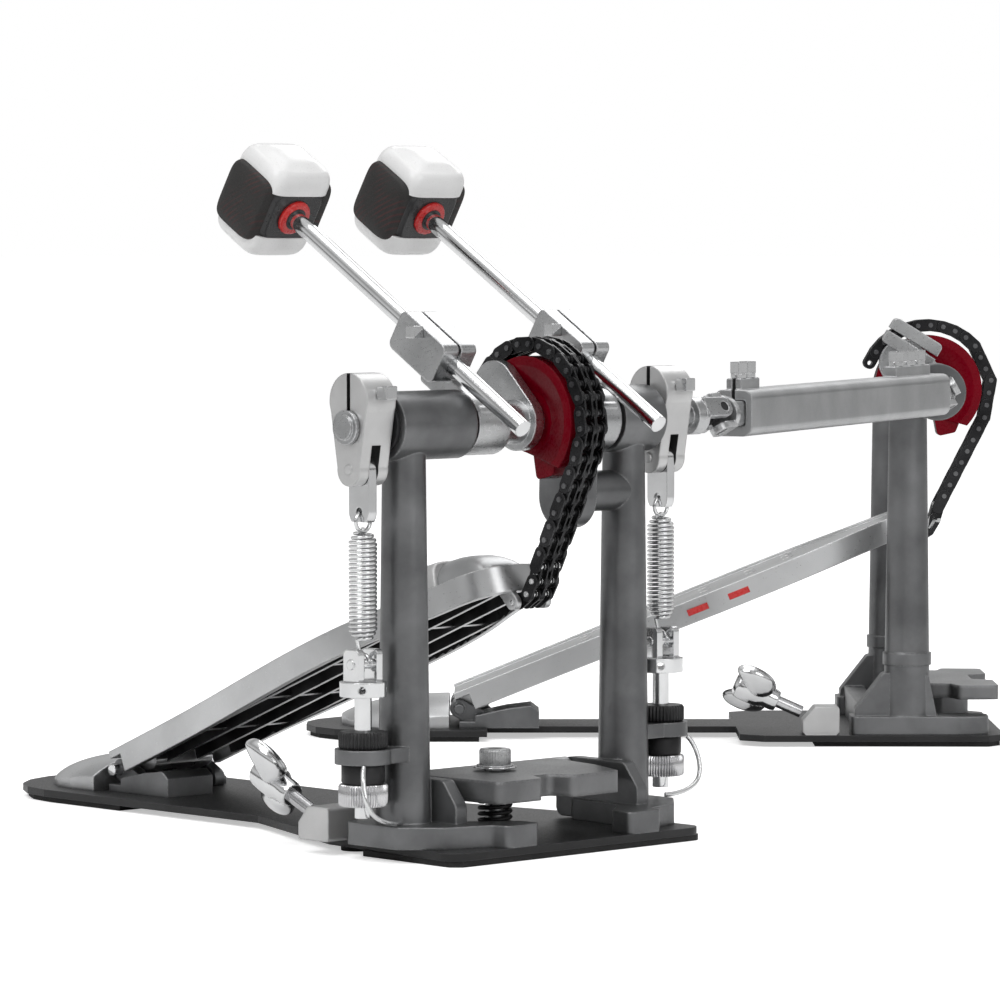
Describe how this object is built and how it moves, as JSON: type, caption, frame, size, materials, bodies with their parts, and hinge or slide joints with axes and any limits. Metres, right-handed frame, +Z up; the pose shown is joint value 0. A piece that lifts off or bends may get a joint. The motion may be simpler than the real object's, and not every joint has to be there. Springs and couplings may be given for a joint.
{
  "type": "bass drum pedal",
  "caption": "Chain-driven bass drum pedal with a slave pedal: sprung beaters over a hinged footboard, joined by a telescopic drive shaft.",
  "frame": {"origin": "on the floor, under the middle of the main axle", "axes": "+X to the player's right along the main axle, +Y from heel to drum, +Z up"},
  "size_m": [0.6452, 0.4699, 0.2906],
  "materials": {
    "base_steel": "satin black powder coat",
    "rubber": "matte",
    "polished_casting": "satin polished casting",
    "grey_casting": "dark satin metallic",
    "bearing": "ground steel with dark seals",
    "chrome": "polished",
    "satin_steel": "satin",
    "cam_red": "deep gloss",
    "chain_black": "black oxide with bright pin ends",
    "beater": "white caps and black striking pads",
    "spring_steel": "bright wire",
    "nut_steel": "knurled, black knob and bright nut"
  },
  "bodies": {
    "main_frame": {"base_plate": "base_steel", "base_rubber": "rubber", "heel_plate": "polished_casting", "heel_bracket": "grey_casting", "heel_hinge_pin": "chrome", "right_post": "grey_casting", "left_post": "grey_casting", "axle_bearings": "bearing", "spring_anchors": "chrome", "guard_wires": "spring_steel", "clamp_bolt": "chrome", "clamp_block": "satin_steel"},
    "footboard": {"footboard": "polished_casting", "toe_stop": "polished_casting", "toe_links": "chain_black"},
    "right_axle": {"right_axle": "satin_steel", "right_cam": "cam_red", "right_beater_holder": "satin_steel", "right_rocker": "chrome", "right_key_bolts": "chrome", "right_chain_wrap": "chain_black"},
    "right_chain_a": {"right_chain_a": "chain_black"},
    "right_chain_b": {"right_chain_b": "chain_black"},
    "right_chain_c": {"right_chain_c": "chain_black"},
    "right_chain_run": {"right_chain_run": "chain_black"},
    "right_spring": {"right_spring_coil": "spring_steel"},
    "right_spring_top": {"right_spring_yoke": "chrome"},
    "right_tension_nuts": {"right_tension_nuts": "nut_steel"},
    "right_beater": {"right_beater_shaft": "chrome", "right_beater_head": "beater"},
    "left_axle": {"left_axle": "satin_steel", "left_beater_holder": "satin_steel", "left_rocker": "chrome", "left_key_bolts": "chrome"},
    "left_spring": {"left_spring_coil": "spring_steel"},
    "left_spring_top": {"left_spring_yoke": "chrome"},
    "left_tension_nuts": {"left_tension_nuts": "nut_steel"},
    "left_beater": {"left_beater_shaft": "chrome", "left_beater_head": "beater"},
    "main_cross": {"main_cross": "satin_steel"},
    "drive_rod": {"drive_rod": "satin_steel"},
    "drive_tube": {"drive_tube": "satin_steel", "drive_bolts": "chrome"},
    "slave_cross": {"slave_cross": "satin_steel"},
    "slave_frame": {"slave_base": "base_steel", "slave_rubber": "rubber", "slave_heel": "polished_casting", "slave_posts": "grey_casting"},
    "slave_axle": {"slave_axle": "satin_steel", "slave_cam": "cam_red", "slave_memory_clamp": "satin_steel", "slave_chain_wrap": "chain_black"},
    "slave_chain_a": {"slave_chain_a": "chain_black"},
    "slave_chain_b": {"slave_chain_b": "chain_black"},
    "slave_chain_run": {"slave_chain_run": "chain_black"},
    "slave_footboard": {"slave_footboard": "polished_casting"},
    "hoop_clamp": {"hoop_clamp_jaw": "grey_casting"},
    "clamp_wing_bolt": {"clamp_wing_bolt": "chrome"},
    "slave_clamp": {"slave_clamp_jaw": "grey_casting"},
    "slave_wing_bolt": {"slave_wing_bolt": "chrome"}
  },
  "joints": [
    {"name": "right_beater_swing", "type": "hinge", "parent": "main_frame", "child": "right_axle", "pos_m": [0, 0, 0.175], "axis": [-1, 0, 0], "range_deg": [-1, 54]},
    {"name": "left_beater_swing", "type": "hinge", "parent": "main_frame", "child": "left_axle", "pos_m": [0, 0, 0.175], "axis": [-1, 0, 0], "range_deg": [-1, 54]},
    {"name": "footboard_hinge", "type": "hinge", "parent": "main_frame", "child": "footboard", "pos_m": [-0.008, -0.236, 0.015], "axis": [-1, 0, 0], "range_deg": [-0.35, 8.33]},
    {"name": "right_chain_a_bend", "type": "hinge", "parent": "right_axle", "child": "right_chain_a", "pos_m": [-0.012, 0.0239, 0.19628], "axis": [-1, 0, 0], "range_deg": [-15.44, 0.48]},
    {"name": "right_chain_b_bend", "type": "hinge", "parent": "right_chain_a", "child": "right_chain_b", "pos_m": [-0.012, 0.0303, 0.1853], "axis": [-1, 0, 0], "range_deg": [-20.56, 0.58]},
    {"name": "right_chain_c_bend", "type": "hinge", "parent": "right_chain_b", "child": "right_chain_c", "pos_m": [-0.012, 0.03192, 0.17271], "axis": [-1, 0, 0], "range_deg": [-20.56, 0.58]},
    {"name": "right_chain_run_bend", "type": "hinge", "parent": "right_chain_c", "child": "right_chain_run", "pos_m": [-0.012, 0.02851, 0.16047], "axis": [-1, 0, 0], "range_deg": [-14.67, 0.47]},
    {"name": "slave_cam_swing", "type": "hinge", "parent": "slave_frame", "child": "slave_axle", "pos_m": [-0.482, -0.198, 0.175], "axis": [-0.6947, -0.7193, 0], "range_deg": [-1.2, 54.2]},
    {"name": "slave_footboard_hinge", "type": "hinge", "parent": "slave_frame", "child": "slave_footboard", "pos_m": [-0.31224, -0.36194, 0.015], "axis": [-0.6947, -0.7193, 0], "range_deg": [-0.35, 8.25]},
    {"name": "slave_chain_a_bend", "type": "hinge", "parent": "slave_axle", "child": "slave_chain_a", "pos_m": [-0.49903, -0.18155, 0.19652], "axis": [-0.6947, -0.7193, 0], "range_deg": [-19.81, 0.56]},
    {"name": "slave_chain_b_bend", "type": "hinge", "parent": "slave_chain_a", "child": "slave_chain_b", "pos_m": [-0.50482, -0.17597, 0.17925], "axis": [-0.6947, -0.7193, 0], "range_deg": [-29.72, 0.75]},
    {"name": "slave_chain_run_bend", "type": "hinge", "parent": "slave_chain_b", "child": "slave_chain_run", "pos_m": [-0.50251, -0.17819, 0.16047], "axis": [-0.6947, -0.7193, 0], "range_deg": [-22.03, 0.6]},
    {"name": "right_spring_swing", "type": "hinge", "parent": "main_frame", "child": "right_spring", "pos_m": [0.0855, 0, 0.08], "axis": [1, 0, 0], "range_deg": [-0.38, 9.95]},
    {"name": "right_spring_stretch", "type": "slide", "parent": "right_spring", "child": "right_spring_top", "axis": [0, 0, 1], "range_m": [-0.0007, 0.0071], "deforming": ["right_spring_coil"]},
    {"name": "right_tension_turn", "type": "hinge", "parent": "main_frame", "child": "right_tension_nuts", "pos_m": [0.0855, 0, 0.046], "axis": [0, 0, 1], "continuous": true},
    {"name": "right_beater_height", "type": "slide", "parent": "right_axle", "child": "right_beater", "axis": [0, -0.8508, 0.5255], "range_m": [-0.02, 0.02]},
    {"name": "left_spring_swing", "type": "hinge", "parent": "main_frame", "child": "left_spring", "pos_m": [-0.0855, 0, 0.08], "axis": [1, 0, 0], "range_deg": [-0.38, 9.95]},
    {"name": "left_spring_stretch", "type": "slide", "parent": "left_spring", "child": "left_spring_top", "axis": [0, 0, 1], "range_m": [-0.0007, 0.0071], "deforming": ["left_spring_coil"]},
    {"name": "left_tension_turn", "type": "hinge", "parent": "main_frame", "child": "left_tension_nuts", "pos_m": [-0.0855, 0, 0.046], "axis": [0, 0, 1], "continuous": true},
    {"name": "left_beater_height", "type": "slide", "parent": "left_axle", "child": "left_beater", "axis": [0, -0.8508, 0.5255], "range_m": [-0.02, 0.02]},
    {"name": "main_cross_tilt", "type": "hinge", "parent": "left_axle", "child": "main_cross", "pos_m": [-0.117, 0, 0.175], "axis": [0, 0.8746, 0.4848], "range_deg": [-23.2, 0.63]},
    {"name": "drive_rod_turn", "type": "hinge", "parent": "main_frame", "child": "drive_rod", "pos_m": [-0.117, 0, 0.175], "axis": [-0.9124, -0.4093, 0], "range_deg": [-1.2, 54.2]},
    {"name": "drive_tube_turn", "type": "hinge", "parent": "slave_frame", "child": "drive_tube", "pos_m": [-0.42365, -0.13758, 0.175], "axis": [-0.9124, -0.4093, 0], "range_deg": [-1.2, 54.2]},
    {"name": "slave_cross_tilt", "type": "hinge", "parent": "slave_axle", "child": "slave_cross", "pos_m": [-0.42365, -0.13758, 0.175], "axis": [-0.6291, 0.6076, 0.4848], "range_deg": [-0.58, 20.77]},
    {"name": "shaft_extension", "type": "slide", "parent": "main_frame", "child": "slave_frame", "axis": [-0.9124, -0.4093, 0], "range_m": [0, 0.1]},
    {"name": "hoop_clamp_close", "type": "hinge", "parent": "main_frame", "child": "hoop_clamp", "pos_m": [0, -0.02, 0.027], "axis": [1, 0, 0], "range_deg": [-5, 1.5]},
    {"name": "slave_clamp_close", "type": "hinge", "parent": "slave_frame", "child": "slave_clamp", "pos_m": [-0.47193, -0.20772, 0.0255], "axis": [0.6947, 0.7193, 0], "range_deg": [-5, 4]},
    {"name": "clamp_wing_turn", "type": "hinge", "parent": "main_frame", "child": "clamp_wing_bolt", "pos_m": [0.074, -0.0434, 0.0165], "axis": [0, -0.9135, 0.4067], "continuous": true},
    {"name": "slave_wing_turn", "type": "hinge", "parent": "slave_frame", "child": "slave_wing_bolt", "pos_m": [-0.39395, -0.2024, 0.0165], "axis": [0.6571, -0.6346, 0.4067], "continuous": true}
  ],
  "couplings": [
    {"joint": "footboard_hinge", "follows": "right_beater_swing", "ratio": 0.1506},
    {"joint": "right_chain_a_bend", "follows": "right_beater_swing", "ratio": -0.2823},
    {"joint": "right_chain_b_bend", "follows": "right_beater_swing", "ratio": -0.3771},
    {"joint": "right_chain_c_bend", "follows": "right_beater_swing", "ratio": -0.3771},
    {"joint": "right_chain_run_bend", "follows": "right_beater_swing", "ratio": -0.2679},
    {"joint": "slave_cam_swing", "follows": "left_beater_swing", "ratio": 1},
    {"joint": "slave_footboard_hinge", "follows": "left_beater_swing", "ratio": 0.149},
    {"joint": "slave_chain_a_bend", "follows": "left_beater_swing", "ratio": -0.3632},
    {"joint": "slave_chain_b_bend", "follows": "left_beater_swing", "ratio": -0.5466},
    {"joint": "slave_chain_run_bend", "follows": "left_beater_swing", "ratio": -0.4042},
    {"joint": "right_spring_swing", "follows": "right_beater_swing", "ratio": 0.1805},
    {"joint": "right_spring_stretch", "follows": "right_beater_swing", "m_per_rad": 0.00722},
    {"joint": "left_spring_swing", "follows": "left_beater_swing", "ratio": 0.1805},
    {"joint": "left_spring_stretch", "follows": "left_beater_swing", "m_per_rad": 0.00722},
    {"joint": "main_cross_tilt", "follows": "left_beater_swing", "ratio": -0.426},
    {"joint": "drive_rod_turn", "follows": "left_beater_swing", "ratio": 1},
    {"joint": "drive_tube_turn", "follows": "left_beater_swing", "ratio": 1},
    {"joint": "slave_cross_tilt", "follows": "left_beater_swing", "ratio": 0.381}
  ]
}
